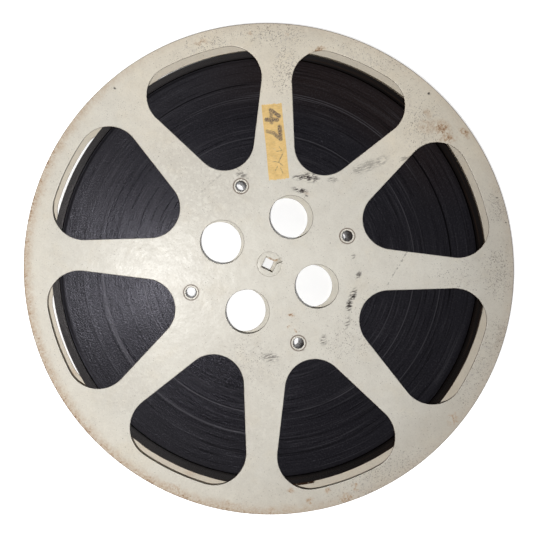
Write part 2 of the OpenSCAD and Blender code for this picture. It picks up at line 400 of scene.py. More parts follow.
class Surface(Nodes):
    """A new material: its nodes, its shader, and where a point lies on the reel."""

    def __init__(self, name, specular, tint=WHITE):
        make_effects()
        self.material = bpy.data.materials.new(name)
        self.material.use_nodes = True
        super().__init__(self.material.node_tree)
        self.shader = self.tree.nodes["Principled BSDF"]
        self.shader.inputs["Specular IOR Level"].default_value = specular
        self.shader.inputs["Specular Tint"].default_value = tint
        self.place = self.use("Reel place")
        self.point, self.flat, self.radius = (self.place[key] for key in ("Point", "Flat", "Radius"))

    def done(self, base, rough, height, strength, distance, metallic=0.0):
        """Joins the results to the shader, the height as a bump."""
        bump = self.add("Bump", {"Height": height, "Strength": strength, "Distance": distance})
        self.feed(self.shader, {
            "Base Color": base, "Roughness": rough, "Metallic": metallic,
            "Normal": bump.outputs["Normal"]})
        return self.material

    def toward(self, direction, low, high, to_low=0.0, to_high=1.0):
        """Rises on the side of the reel that lies in a direction."""
        return self.remap(self.dot(self.place["Round"], direction), low, high, to_low, to_high)

    def steep(self, low, high):
        """Rises where the surface turns away from the spindle's axis."""
        return self.remap(self.math("ABSOLUTE", self.place["Facing"]), low, high)

    def from_rivet(self):
        """Distance from the nearest rivet's axis."""
        corner = self.vector("ABSOLUTE", self.flat)
        return self.vector("LENGTH", self.vector("SUBTRACT", corner, (RIVET_XY, RIVET_XY, 0.0)))

    def ragged(self, point, scale, reach):
        return self.use("Ragged point", {"Point": point, "Scale": scale, "Reach": reach})["Point"]

    def old_paint(self, finish, paint, specks):
        return self.use("Old paint", {
            "Point": self.point, "Paint": paint, "Specks": specks,
            "Dirt": finish.paint_dirt_and_shade, "Blush": finish.blush, "Speck": finish.speck})

    def rusted(self, finish, mask, base):
        return self.use("Rust", {
            "Point": self.point, "Mask": mask, "Color": base,
            "Pale": finish.rust_pale, "Dark": finish.rust_dark})["Color"]

    def turns(self):
        return self.use("Film turns", {key: self.place[key] for key in ("Radius", "Round", "Point")})

    def strongest(self, group, marks):
        """The strongest of several marks: each is a group's inputs and a strength."""
        mask = 0.0
        for inputs, strength in marks:
            mask = self.most(mask, self.times(self.use(group, inputs)["Mask"], strength))
        return mask

    def blots(self, point, marks):
        return self.strongest("Blot", [
            ({"Point": point, "Centre": (x, y, 0.0), "Size": (half_l, half_w, 1.0),
              "Turn": math.radians(turn)}, strength)
            for x, y, half_l, half_w, turn, strength in marks])

    def strokes(self, point, marks):
        return self.strongest("Stroke", [
            ({"Point": point, "From": (x0, y0, 0.0), "To": (x1, y1, 0.0), "Width": width}, strength)
            for x0, y0, x1, y1, width, strength in marks])

    def rings(self, marks):
        return self.strongest("Ring", [
            ({"Radius": self.radius, "Round": self.place["Round"], "At": radius,
              "Width": width, "Middle": on_circle(1.0, math.radians(middle)),
              "Reach": math.radians(span) * 1.02}, strength)
            for radius, width, middle, span, strength in marks])


def dimmed(tone, share):
    """A colour at a share of its brightness."""
    return (*(share * part for part in tone[:3]), 1.0)


def on_circle(radius, turn, height=0.0):
    """A point on a circle round the spindle."""
    return (radius * math.cos(turn), radius * math.sin(turn), height)


# Broad darker patches on the front face, mostly painted shade that evens out the light over the hub and
# the right-hand rim, partly greasy dirt: x, y, half length, half width in mm, turn, strength
SHADE_AND_GRIME = (
    (-62, 30, 56, 50, 0, 0.19), (4, -62, 50, 30, 0, 0.12), (-45, -105, 36, 30, 0, 0.13),
    (-54, -30, 40, 36, 0, 0.09), (150, 18, 8, 22, 0, 0.36), (132, 75, 8, 14, 30, 0.34),
    (120, -95, 10, 16, 35, 0.36), (-38, 146, 16, 6, 10, 0.10), (62, 62, 10, 4, 40, 0.10),
    (38, -92, 34, 16, 113, 0.10),
)

# Where fine specks are thick on the front face, given in the same way
SPECKLED = (
    (-44, 118, 28, 16, 113, 0.15), (-60, 136, 36, 15, 25, 0.145), (-98, 108, 30, 14, 42, 0.125),
    (0, 149, 46, 12, 0, 0.11), (52, 122, 44, 24, 140, 0.095), (62, 62, 36, 14, 45, 0.075),
    (148, 5, 15, 60, 0, 0.12), (112, 45, 28, 18, 22, 0.10), (118, -92, 22, 55, 140, 0.13),
    (66, -20, 26, 30, 0, 0.10), (22, -58, 38, 20, 0, 0.075), (133, 58, 28, 18, 115, 0.13),
    (116, 97, 20, 11, 130, 0.13),
)

# Rust stains on the front face, given in the same way
RUST = (
    (64, 126, 9, 6.5, 150, 1.0), (56, 124, 12, 6.5, 25, 0.55), (51, 131, 5, 3, 0, 0.6),
    (70, 121.5, 7.5, 3.2, 25, 1.0), (78, 129.5, 6.5, 3.4, 156, 0.95), (-100, 110, 8, 3, 40, 0.6),
    (-74, 129, 3, 1.8, 0, 0.65), (-52, 139, 3, 1.8, 0, 0.6),
    (107, -103, 3.5, 3, 0, 0.8), (104, -112, 6, 5, 45, 0.9), (92, -112, 3, 2.4, 0, 0.8),
    (84, -123, 4.5, 3, 40, 0.8), (71, -122, 4, 3, 30, 0.75), (145, -39, 6, 5, 75, 0.7),
    (-30, 137.2, 8.5, 2.8, 50, 1.35), (5, -152, 14, 4, 0, 0.8), (40, -146, 10, 4, 15, 0.6),
    (66, -138, 8, 4, 25, 0.6), (25.5, -23.8, 2.9, 1.5, 40, 1.6), (28, -30, 2.6, 1.6, 60, 0.8),
    (33, -31, 2.2, 1.5, 0, 0.8), (2, 51, 4, 1.8, 10, 0.5),
)

# Black rub marks on the front face, given in the same way
SCUFFS = (
    (0, 61, 9, 4.2, 15, 1.0), (-6, 58, 6, 2.2, 25, 1.0), (-2, 51, 7, 2.4, 10, 1.0),
    (26, 79, 5, 4.5, 50, 0.45), (31, 84, 8, 5, 50, 0.45), (37, 90, 7, 4, 55, 0.45),
    (56, 5, 2.8, 6, 0, 1.0), (56.5, -2, 2.8, 6, 10, 1.0), (54, 18, 2.2, 4, 0, 0.9),
    (51, -29, 3, 4.5, 20, 0.7), (25, -53, 8, 4, 20, 0.6), (-40, 44, 5, 2.6, 20, 0.75),
    (46, 27, 2, 3, 0, 0.5), (50, 98, 5, 2, 40, 0.5), (47, 143, 1.8, 1.4, 0, 0.9),
    (14, 66, 5, 2.5, 30, 0.6), (60, -12, 2, 6, 10, 0.6), (40, -40, 5, 2, 30, 0.45),
)

# Dark chips down to the steel on the front face, given in the same way
CHIPS = (
    (-137, 60, 1.3, 1.1, 0, 1.0), (47, 143, 1.2, 0.9, 0, 0.9), (113.6, 100.2, 1.1, 0.9, 0, 0.8),
    (125.4, 88.2, 1.0, 0.8, 0, 0.7), (-1, 51, 2.6, 1.2, 15, 0.8), (3, 49.5, 1.6, 0.9, 0, 0.7),
    (57, 4, 1.2, 2.6, 20, 0.75), (56, -1, 1.0, 2.0, 0, 0.7),
)

# Rust on the rear bush, given in the same way
BUSH_RUST = ((4.1, 5.2, 2.6, 1.7, 20, 1.0), (1.2, 4.8, 1.8, 1.1, 0, 1.0))

# Broken scratches on the front face: x, y to x, y in mm, width, strength
SCRATCHES = (
    (76, 45, 74.5, 32, 0.5, 0.5), (74.5, 32, 73, 20, 0.5, 0.45),
    (-52, 38, -60, 20, 0.8, 0.22), (23, 76, 33, 87, 0.9, 0.4), (-45, 47, -34, 43, 0.7, 0.4),
)

# Sides of the reel on which its finishes and its painted light and shade change, as directions from the
# spindle
UPPER_SIDE = (0.26, 0.97, 0.0)
TOP_SIDE = (-0.15, 0.99, 0.0)
RIGHT_SIDE = (0.97, -0.02, 0.0)
LOW_LEFT_SIDE = (-0.62, -0.78, 0.0)
DUST_AND_SHEEN_SIDE = (-0.91, -0.42, 0.0)
BROWN_SIDE = (0.0, 1.0, 0.0)
SHADED_SIDE = (0.09, -0.99, 0.0)
WARM_SIDE = (0.94, 0.342, 0.0)

# Directions faced by cut edges that are painted near-black as shade, on the front flange and elsewhere
FRONT_SHADED_FACING = (0.34, 0.94, 0.0)
PLAIN_SHADED_FACING = (-0.2, 0.98, 0.0)

# Depth of the relief on each kind of surface
PAINT_RELIEF = 0.05 * MM
FILM_RELIEF = 0.175 * MM
LEADER_RELIEF = 0.17 * MM
TAPE_RELIEF = 0.08 * MM

# Turn of the streaks in the rub marks
RUB_TURN = math.radians(42)


def front_paint(finish):
    """Old paint of the front flange, with its stains and rub marks."""
    n = Surface("Front flange paint", 0.12)
    ragged = n.ragged(n.flat, 0.22, 7.0)
    ragged_r = n.vector("LENGTH", ragged)
    specks = n.blots(ragged, SPECKLED)
    # Painted light with yellowing: the paint turns yellower and lighter at the rim and towards the top
    yellowed_and_lit = n.most(
        n.remap(ragged_r, 130.0, 150.0, 0.0, 0.3),
        n.times(n.toward(TOP_SIDE, 0.3, 0.85), n.remap(ragged_r, 70.0, 125.0)))
    old = n.old_paint(finish, n.mix(yellowed_and_lit, finish.paint, finish.paint_yellow_and_lit), specks)
    face = n.remap(n.place["Height"], FACE_Z - 0.3, FACE_Z - 0.1)

    # Painted shade: the rim darkens towards the right, and broad patches darken the hub, along with some
    # greasy dirt
    shade_and_grime = n.times(n.toward(RIGHT_SIDE, 0.05, 0.8), n.remap(ragged_r, 108.0, 146.0))
    shade_and_grime = n.most(n.times(shade_and_grime, 0.25), n.blots(ragged, SHADE_AND_GRIME))
    base = n.mix(shade_and_grime, old["Color"], finish.paint_dirt_and_shade)
    bloom = n.remap(n.noise(n.point, 0.42, 3.0, 0.65), 0.52, 0.66, 0.0, 1.8)
    base = n.mix(n.times(specks, bloom), base, finish.bloom)

    rim = n.remap(ragged_r, RIM_R - 8.0, RIM_R + 0.5)
    rim = n.times(rim, n.toward(LOW_LEFT_SIDE, -0.1, 0.7, 0.20, 0.85))
    base = n.rusted(finish, n.times(n.most(n.blots(ragged, RUST), rim), face), base)

    rough = n.ragged(n.flat, 0.7, 2.6)
    streaky = n.add(
        "Mapping", {"Vector": n.flat, "Rotation": (0.0, 0.0, RUB_TURN), "Scale": (5.0, 1.0, 1.0)},
        vector_type="TEXTURE").outputs[0]
    crumbs = n.remap(n.noise(streaky, 1.15, 2.0, 0.6), 0.44, 0.52)
    dots = n.remap(n.noise(n.point, 0.6, 2.0, 0.6), 0.42, 0.58)
    marks = n.most(
        n.times(n.blots(rough, SCUFFS), crumbs), n.times(n.strokes(rough, SCRATCHES), dots))
    base = n.mix(n.times(marks, face), base, finish.scuff)
    base = n.mix(n.times(n.blots(rough, CHIPS), face), base, finish.shadow)
    upper = n.remap(n.toward(UPPER_SIDE, -0.1, 0.95), 0.2, 0.8, 0.25, 0.8)
    hem = n.times(n.remap(n.radius, RIM_R - 0.9, RIM_R - 0.2), upper)
    base = n.mix(hem, base, finish.edge_dirt_and_shade)

    # Painted shade with some dirt: a dark ring in the crevice round each rivet's rim
    rivet_shade_and_dirt = n.times(n.remap(n.from_rivet(), 5.45, 5.0), 0.8)
    base = n.mix(rivet_shade_and_dirt, base, finish.edge_dirt_and_shade)
    # Painted shade: cut walls that face one way turn near-black, the others take brown edge dirt
    shaded_facing = n.remap(n.dot(n.place["Normal"], FRONT_SHADED_FACING), 0.0, 0.5)
    wall = n.times(n.steep(0.985, 0.65), n.remap(n.radius, 8.6, 9.6, 0.0, 0.9))
    base = n.mix(wall, base, n.mix(shaded_facing, finish.edge_dirt_and_shade, finish.shadow))
    return n.done(base, old["Roughness"], old["Height"], 0.6, PAINT_RELIEF)


def plain_paint(name, finish, shade, hub_shade, stains=()):
    """Old paint without the front face's own marks: rust grows by chance outside the core."""
    n = Surface(name, 0.12)
    outside = n.remap(n.radius, 58.0, 63.0)
    # The tints darken the paint: on the rear flange and the rear bush this is painted shade for faces
    # that lie deep in the reel
    tint = n.mix(outside, (*hub_shade, 1.0), (*shade, 1.0))
    old = n.old_paint(finish, n.mix(1.0, tint, finish.paint, "MULTIPLY"), 0.0)
    patches = n.remap(n.noise(n.point, 0.028, 4.0, 0.6), 0.60, 0.72, 0.0, 0.8)
    ragged_r = n.vector("LENGTH", n.ragged(n.flat, 0.22, 7.0))
    rim = n.remap(ragged_r, RIM_R - 5.0, RIM_R + 0.5, 0.0, 0.5)
    rust = n.most(n.times(n.most(patches, rim), outside), n.blots(n.flat, stains))
    base = n.rusted(finish, rust, old["Color"])
    # Painted shade: cut walls that face one way turn near-black
    shaded_facing = n.remap(n.dot(n.place["Normal"], PLAIN_SHADED_FACING), 0.6, 0.85)
    wall = n.times(n.steep(0.75, 0.35), n.plus(0.35, n.times(shaded_facing, 0.6)))
    base = n.mix(wall, base, n.mix(shaded_facing, finish.edge_dirt_and_shade, finish.shadow))
    return n.done(base, old["Roughness"], old["Height"], 0.6, PAINT_RELIEF)


def rivet_finish(finish):
    """Painted rims and dull, dirty bores of the hollow rivets."""
    n = Surface("Rivet finish", 0.25)
    old = n.old_paint(finish, finish.paint, 0.02)
    off = n.from_rivet()
    bore = n.remap(off, 3.62, 3.4)
    # Painted shade with some dirt: a dark ring where the rim meets the flange
    foot_shade_and_dirt = n.remap(off, 4.36, 4.6)
    worn = n.remap(n.noise(n.point, 0.9, 3.0, 0.6), 0.54, 0.66, 0.0, 0.4)
    spots = n.remap(n.noise(n.point, 0.7, 3.0, 0.6), 0.45, 0.7)
    metal = n.mix(spots, finish.metal, dimmed(finish.rust_dark, 0.6))
    base = n.mix(n.most(bore, worn), old["Color"], metal)
    base = n.mix(n.times(foot_shade_and_dirt, 0.85), base, finish.edge_dirt_and_shade)
    return n.done(base, old["Roughness"], old["Height"], 0.2, PAINT_RELIEF, n.times(bore, 0.25))


# Turns of film that catch the light: radius, half width in mm, angle, half span, strength
LIGHT_TURNS = (
    (83.0, 0.45, 90, 25, 0.7), (81.8, 0.5, 134, 22, 0.6), (82.0, 0.4, 180, 40, 0.25),
    (82.2, 0.4, 0, 30, 0.5), (80.6, 0.5, 222, 22, 0.8), (92.5, 0.45, 15, 60, 0.7),
    (93.6, 0.5, 264, 32, 0.95), (93.6, 0.5, 322, 22, 0.7), (107.1, 0.85, 258, 42, 0.8),
    (105.8, 0.95, 226, 26, 0.85), (109.0, 0.4, 90, 40, 0.9), (110.4, 0.35, 90, 35, 0.75),
    (107.9, 0.35, 120, 30, 0.7), (106.5, 0.3, 125, 25, 0.5), (114.6, 0.3, 135, 35, 0.5),
    (109.5, 0.4, 0, 35, 0.6), (123.5, 0.4, 225, 14, 0.5), (99.0, 0.3, 45, 30, 0.4),
    (87.0, 0.3, 130, 30, 0.35),
)

# Turns that lie deeper, painted near-black as shade, given in the same way
DEEP_SHADED_TURNS = (
    (116.0, 1.0, 44, 40, 1.0), (116.8, 0.7, 92, 25, 0.6), (116.4, 0.8, 140, 25, 0.9),
    (104.0, 0.5, 135, 30, 0.5), (82.0, 0.6, 92, 25, 0.7), (131.7, 2.2, 0, 181, 0.40),
    (131.7, 1.8, 178, 66, 0.75), (98.0, 0.5, 180, 40, 0.4), (88.0, 0.5, 40, 35, 0.7),
    (113.5, 0.4, 10, 40, 0.7), (111.0, 0.45, 320, 40, 0.8), (119.0, 0.5, 300, 35, 0.8),
    (101.5, 0.45, 75, 40, 0.7), (124.0, 0.5, 80, 40, 0.7), (127.5, 0.6, 45, 45, 0.6),
)


def film_height(n, turns, grain):
    """Height of the film's edges: fine turns, some grain, and all of it leaning a little."""
    height = n.plus(n.times(turns["Fine"], 0.38), n.times(turns["Grain"], grain))
    return n.plus(height, turns["Lean"])


def film_finish(finish):
    """Edges of the tightly wound dark film."""
    n = Surface("Wound film", 0.105, (0.89, 0.87, 1.0, 1.0))
    turns = n.turns()
    light = n.plus(
        n.remap(turns["Grain"], 0.46, 0.74, 0.0, 0.17), n.remap(turns["Lines"], 0.54, 0.74, 0.0, 0.24))
    # Dust with painted sheen: the film is lighter on the lower left, where the lamp's highlight falls
    dust_and_sheen = n.times(n.toward(DUST_AND_SHEEN_SIDE, -0.1, 0.4), n.remap(n.radius, 100.0, 122.0, 0.0, 0.13))
    broken = n.remap(turns["Fine"], 0.3, 0.6, 0.5, 1.0)
    light = n.most(n.plus(light, dust_and_sheen), n.times(n.rings(LIGHT_TURNS), broken))
    brown = n.times(n.toward(BROWN_SIDE, 0.6, 0.98), n.remap(n.radius, 90.0, 122.0))
    base = n.mix(
        brown, n.mix(light, finish.film, finish.film_light),
        n.mix(light, finish.film_brown, finish.film_light))
    # Painted shade: deep turns and one side of the inner roll go near-black with less sheen, among the
    # film's own dark lines
    deep = n.rings(DEEP_SHADED_TURNS)
    dark = n.most(deep, n.remap(turns["Lines"], 0.44, 0.28, 0.0, 0.6))
    shaded = n.times(n.toward(SHADED_SIDE, 0.88, 0.99, 0.0, 0.4), n.remap(n.radius, 93.0, 78.0))
    dark = n.most(dark, shaded)
    base = n.mix(dark, base, finish.film_black_and_shade)
    rough = n.plus(n.plus(0.22, n.times(turns["Grain"], 0.06)), n.times(deep, 0.4))
    return n.done(base, rough, film_height(n, turns, 0.52), 1.0, FILM_RELIEF, n.times(dark, 0.8))


def leader_finish(finish):
    """Loose turns: dark edges with brown ones among them, and an amber outer face."""
    n = Surface("Loose film", 0.085, (1.0, 0.93, 0.93, 1.0))
    turns = n.turns()
    face = n.steep(0.8, 0.4)
    outer = n.remap(n.radius, 137.75, 138.0)
    cloud = n.remap(n.noise(n.point, 0.09, 3.0, 0.6), 0.35, 0.7)
    amber = n.mix(cloud, finish.leader_face, dimmed(finish.leader_face, 0.45))
    amber = n.mix(outer, finish.leader, amber)
    warm = n.toward(WARM_SIDE, -0.65, 0.65)
    streak = n.most(n.remap(turns["Lines"], 0.52, 0.68, 0.0, 0.9), n.times(outer, 0.3))
    # Painted sheen: the loose turns' edges are lighter away from the warm side, towards the lamp
    edge = n.mix(warm, finish.leader_sheen, finish.leader)
    edge = n.mix(n.times(warm, streak), edge, finish.leader_brown)
    # Painted shade: the groove inside the loose turns goes near-black, with less sheen
    groove = n.times(n.remap(n.radius, 135.0, 133.6), n.minus(0.5, face))
    edge = n.mix(groove, edge, finish.film_black_and_shade)
    rough = n.plus(0.24, n.times(turns["Grain"], 0.10))
    height = film_height(n, turns, 0.45)
    return n.done(n.mix(face, edge, amber), rough, height, 1.0, LEADER_RELIEF, groove)


# Pen strokes of a plain number on the label: along it and across it in mm, width, strength
PEN = (
    (-16.2, 4.0, -20.6, -0.9, 1.7, 0.95), (-20.6, -0.9, -12.4, -1.2, 1.6, 0.75),
    (-14.0, 2.4, -14.6, -4.4, 1.8, 0.9), (-9.2, 3.7, -1.4, 3.4, 1.8, 0.95),
    (-1.4, 3.4, -5.6, -0.6, 1.7, 0.85), (-5.6, -0.6, -7.0, -4.4, 1.6, 0.65),
)

# Faint pencil lines further along the label, given in the same way
PENCIL = (
    (3.6, 2.2, 6.0, 3.4, 0.45, 0.5), (6.0, 3.4, 6.4, 0.4, 0.45, 0.55),
    (8.4, 3.8, 13.4, 0.6, 0.5, 0.65), (13.4, 0.6, 12.6, -2.8, 0.45, 0.55),
    (13.4, 0.6, 15.4, 3.0, 0.5, 0.65), (16.0, -0.4, 18.6, -2.0, 0.45, 0.5),
    (17.0, 1.6, 20.6, 2.6, 0.45, 0.5),
)


def label_place(s):
    """Middle of the label and the angle along which its number runs."""
    middle = Vector(on_circle(s.label_r, s.label_angle))
    return middle, s.label_angle + s.label_turn + math.pi


def tape_finish(finish, sizes):
    """Yellowed paper tape with a number in faded ink."""
    n = Surface("Paper tape", 0.15)
    middle, turn = label_place(sizes)
    local = n.add(
        "Mapping", {"Vector": n.flat, "Location": tuple(middle / MM),
                    "Rotation": (0.0, 0.0, turn)}, vector_type="TEXTURE").outputs[0]
    axes = n.split(local)
    crepe = n.noise(n.join(n.times(axes[0], 1.6), n.times(axes[1], 0.5)), 0.9, 4.0, 0.6)
    cloud = n.noise(local, 0.16, 3.0, 0.6)
    shade = n.plus(n.remap(crepe, 0.35, 0.75, 0.0, 0.45), n.remap(cloud, 0.4, 0.7, 0.0, 0.35))
    base = n.mix(shade, finish.tape, finish.tape_dark)
    pale = n.remap(n.noise(local, 0.3, 3.0, 0.6), 0.58, 0.75, 0.0, 0.5)
    base = n.mix(pale, base, finish.tape_pale)
    dry = n.remap(n.noise(local, 1.3, 3.0, 0.7), 0.36, 0.6, 0.35, 1.0)
    ink = n.times(n.strokes(n.ragged(local, 0.5, 1.2), PEN + PENCIL), dry)
    base = n.mix(ink, base, finish.ink)
    return n.done(base, n.remap(crepe, 0.2, 0.8, 0.62, 0.5), crepe, 0.5, TAPE_RELIEF)


# Steps of the meshes round each form
FLANGE_STEPS = 360
FINGER_STEPS = 96
BUSH_STEPS = 96
RIVET_STEPS = 48
ROLL_STEPS = 240
CORNER_STEP = math.radians(4)
RIM_STEP = math.radians(1)
HOLE_STEP = math.radians(5)

# Largest angles in degrees between faces that are shaded as one
SHEET_SMOOTH = 20
TURNED_SMOOTH = 25
THIN_SMOOTH = 40


def edit():
    """Opens the active mesh for editing."""
    bpy.ops.object.mode_set(mode="EDIT")


def leave_edit():
    """Leaves edit mode, with vertices as what is selected next."""
    bpy.ops.object.mode_set(mode="OBJECT")
    bpy.context.tool_settings.mesh_select_mode = (True, False, False)


def to_object_mode():
    """Leaves edit mode and deselects everything."""
    if bpy.context.object and bpy.context.object.mode != "OBJECT":
        leave_edit()
    bpy.ops.object.select_all(action="DESELECT")


def make_active(piece):
    """Selects one piece alone and makes it the active one."""
    to_object_mode()
    piece.select_set(True)
    bpy.context.view_layer.objects.active = piece


def weld():
    """Merges doubled vertices, in edit mode."""
    bpy.ops.mesh.select_all(action="SELECT")
    bpy.ops.mesh.remove_doubles(threshold=WELD)


def face_outwards():
    """Merges doubles and turns all faces of the active mesh outwards."""
    edit()
    weld()
    bpy.ops.mesh.normals_make_consistent(inside=False)
    leave_edit()


def shift_mesh(offset):
    """Moves the active piece's mesh, and leaves its object at the origin."""
    edit()
    bpy.ops.mesh.select_all(action="SELECT")
    bpy.ops.transform.translate(value=offset)
    leave_edit()


def select_faces(piece, chosen):
    """Opens the active mesh for editing with only the chosen faces selected."""
    for part in (*piece.data.vertices, *piece.data.edges):
        part.select = False
    for face in piece.data.polygons:
        face.select = chosen(face)
    bpy.context.tool_settings.mesh_select_mode = (False, False, True)
    edit()


def apply_modifier(piece, kind, **settings):
    """Adds a modifier with its settings and applies it."""
    bpy.ops.object.modifier_add(type=kind)
    modifier = piece.modifiers[-1]
    for name, value in settings.items():
        setattr(modifier, name, value)
    bpy.ops.object.modifier_apply(modifier=modifier.name)


def trace(points):
    """Draws a closed line of vertices by extruding one from point to point, in edit mode."""
    to_object_mode()
    bpy.ops.mesh.primitive_plane_add(size=MM)
    piece = bpy.context.object
    edit()
    bpy.ops.mesh.merge(type="CENTER")
    bpy.ops.transform.translate(value=points[0])
    here = Vector(points[0])
    for end in points[1:] + points[:1]:
        there = Vector(end)
        bpy.ops.mesh.extrude_vertices_move(TRANSFORM_OT_translate={"value": there - here})
        here = there
    weld()
    return piece


def spin_round(profile, steps, centre=ORIGIN):
    """Spins a closed profile, drawn in the XZ plane, round an upright axis."""
    piece = trace([(centre[0] + x, centre[1], z) for x, z in profile])
    bpy.ops.mesh.spin(steps=steps, angle=math.tau, center=centre, axis=UP, use_auto_merge=True)
    face_outwards()
    return piece


def shaped_grid(along, across, place):
    """A flat grid, each corner of which is moved to where its column and row belong."""
    to_object_mode()
    bpy.ops.mesh.primitive_grid_add(x_subdivisions=along, y_subdivisions=across, size=1.0)
    sheet = bpy.context.object
    for vertex in sheet.data.vertices:
        vertex.co = place(round((vertex.co.x + 0.5) * along), round((vertex.co.y + 0.5) * across))
    return sheet


def thicken(sheet, thickness):
    """Gives a sheet its thickness, half to each side."""
    apply_modifier(sheet, "SOLIDIFY", thickness=thickness, offset=0.0)
    face_outwards()


def fill_outlines(thickness, rounding, low):
    """Makes sheet of the outlines drawn in the active mesh, with rounded edges."""
    make_active(bpy.context.view_layer.objects.active)
    bpy.ops.object.convert(target="CURVE")
    outline = bpy.context.object.data
    outline.dimensions = "2D"
    outline.fill_mode = "BOTH"
    outline.extrude = thickness / 2 - rounding
    outline.bevel_depth = rounding
    outline.bevel_resolution = 1
    outline.offset = -rounding
    bpy.ops.object.convert(target="MESH")
    face_outwards()
    shift_mesh((0.0, 0.0, low + thickness / 2))
    return bpy.context.object


def finish_piece(piece, name, material, smooth, node, body="reel"):
    """Names a piece, shades it, and lets it stand for its CAD node on a body."""
    piece.name = name
    piece.data.name = name
    piece.data.materials.clear()
    piece.data.materials.append(material)
    bpy.ops.object.shade_smooth_by_angle(angle=math.radians(smooth))
    if body:
        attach(piece, body)
    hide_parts(node)


def arc(centre, radius, start, end, step):
    """Points on an arc, in the XY plane, no further apart than an angle step."""
    count = max(2, math.ceil(abs(end - start) / step))
    turns = [start + (end - start) * i / count for i in range(count + 1)]
    return [(centre[0] + radius * math.cos(t), centre[1] + radius * math.sin(t), 0.0)
            for t in turns]


def window_outline(s):
    """Outline of the window that lies on the X axis."""
    half_step = math.pi / s.window_count
    inner, outer = s.core_r + s.window_margin, s.flange_r - s.rim_width
    taper = (s.spoke_in - s.spoke_out) / 2 / (outer - inner)
    side = half_step + math.atan(taper)
    apex = (s.spoke_in / 2 + taper * inner) / (math.sin(half_step) + taper * math.cos(half_step))
    round_r = (inner - apex) / (1 / math.sin(side) - 1)
    line = -apex * math.tan(side) - s.corner_r / math.cos(side)
    a = 1 + math.tan(side) ** 2
    b = 2 * math.tan(side) * line
    c = line ** 2 - (outer - s.corner_r) ** 2
    corner_x = (-b + math.sqrt(b * b - 4 * a * c)) / (2 * a)
    corner_y = corner_x * math.tan(side) + line
    turn = math.atan2(corner_y, corner_x)
    quarter = math.pi / 2
    outline = arc((inner + round_r, 0.0), round_r, quarter + side, 3 * quarter - side, CORNER_STEP)
    outline += arc((corner_x, -corner_y), s.corner_r, -quarter - side, -turn, CORNER_STEP)
    outline += arc(ORIGIN, outer, -turn, turn, RIM_STEP)[1:-1]
    outline += arc((corner_x, corner_y), s.corner_r, turn, quarter + side, CORNER_STEP)
    return outline


def bush_hole(s, keyed):
    """Outline of the hole for a bush, with the keyway at one corner if it is keyed."""
    radius = s.bush_r + s.fit
    middle = math.pi / 4
    half = math.asin(s.key_width / 2 / radius) if keyed else 0.0
    outline = arc(ORIGIN, radius, middle + half, middle - half + math.tau, HOLE_STEP)
    if not keyed:
        return outline[:-1]
    along = Vector(on_circle(s.key_tip, middle))
    aside = Vector((-math.sin(middle), math.cos(middle), 0.0)) * s.key_width / 2
    return outline + [tuple(along - aside), tuple(along + aside)]


def punch_sheet(s, low, high, keyed):
    """Draws a flange's outlines in one mesh and makes sheet of them."""
    trace(window_outline(s))
    bpy.ops.mesh.select_all(action="SELECT")
    for _ in range(s.window_count - 1):
        bpy.ops.mesh.duplicate()
        bpy.ops.transform.rotate(
            value=math.tau / s.window_count, orient_axis="Z", center_override=ORIGIN)
    bpy.ops.mesh.primitive_circle_add(vertices=FLANGE_STEPS, radius=s.flange_r)
    for quarter in range(4):
        turn = quarter * math.pi / 2
        for radius, out, at, corners in (
                (s.finger_r, s.finger_circle, turn, FINGER_STEPS),
                (s.rivet_tube + s.fit, s.rivet_circle, turn + math.pi / 4, RIVET_STEPS)):
            bpy.ops.mesh.primitive_circle_add(
                vertices=corners, radius=radius, location=on_circle(out, at))
    sheet = bpy.context.object
    hole = trace(bush_hole(s, keyed))
    make_active(sheet)
    hole.select_set(True)
    bpy.ops.object.join()
    return fill_outlines(high - low, s.edge_round, low)


class REEL_OT_flanges(bpy.types.Operator):
    """Builds both flanges of punched sheet"""

    bl_idname = "reel.flanges"
    bl_label = "Flanges"

    def execute(self, context):
        s, finish = context.scene.reel_sizes, context.scene.reel_finish
        rear = punch_sheet(s, REAR_LOW.z, REAR_HIGH.z, False)
        # Darker and browner outside the core: painted shade on the face that lies deep between the
        # flanges, with some brown age
        paint = plain_paint("Rear flange paint", finish, (0.89, 0.85, 0.80), (0.97, 0.965, 0.95))
        finish_piece(rear, "rear_flange_sheet", paint, SHEET_SMOOTH, "rear_flange")
        front = punch_sheet(s, FRONT_LOW.z, FRONT_HIGH.z, True)
        paint = front_paint(finish)
        finish_piece(front, "front_flange_sheet", paint, SHEET_SMOOTH, "front_flange")
        return {"FINISHED"}


class REEL_OT_core(bpy.types.Operator):
    """Paints the core drum, whose CAD shape stays"""

    bl_idname = "reel.core"
    bl_label = "Core drum"

    def execute(self, context):
        finish = context.scene.reel_finish
        paint = plain_paint("Core paint", finish, (0.90, 0.86, 0.80), (0.95, 0.94, 0.92))
        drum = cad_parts["core_drum"]
        drum.data.materials.clear()
        drum.data.materials.append(paint)
        return {"FINISHED"}


def box_cutter(size, turn, out, height):
    """A long box that cuts a hole, turned and moved outwards from the spindle."""
    to_object_mode()
    bpy.ops.mesh.primitive_cube_add(
        size=1.0, location=on_circle(out, turn, height), rotation=(0.0, 0.0, turn),
        scale=(*size, 10 * MM))
    bpy.ops.object.transform_apply(location=True, rotation=True, scale=True)
    return bpy.context.object


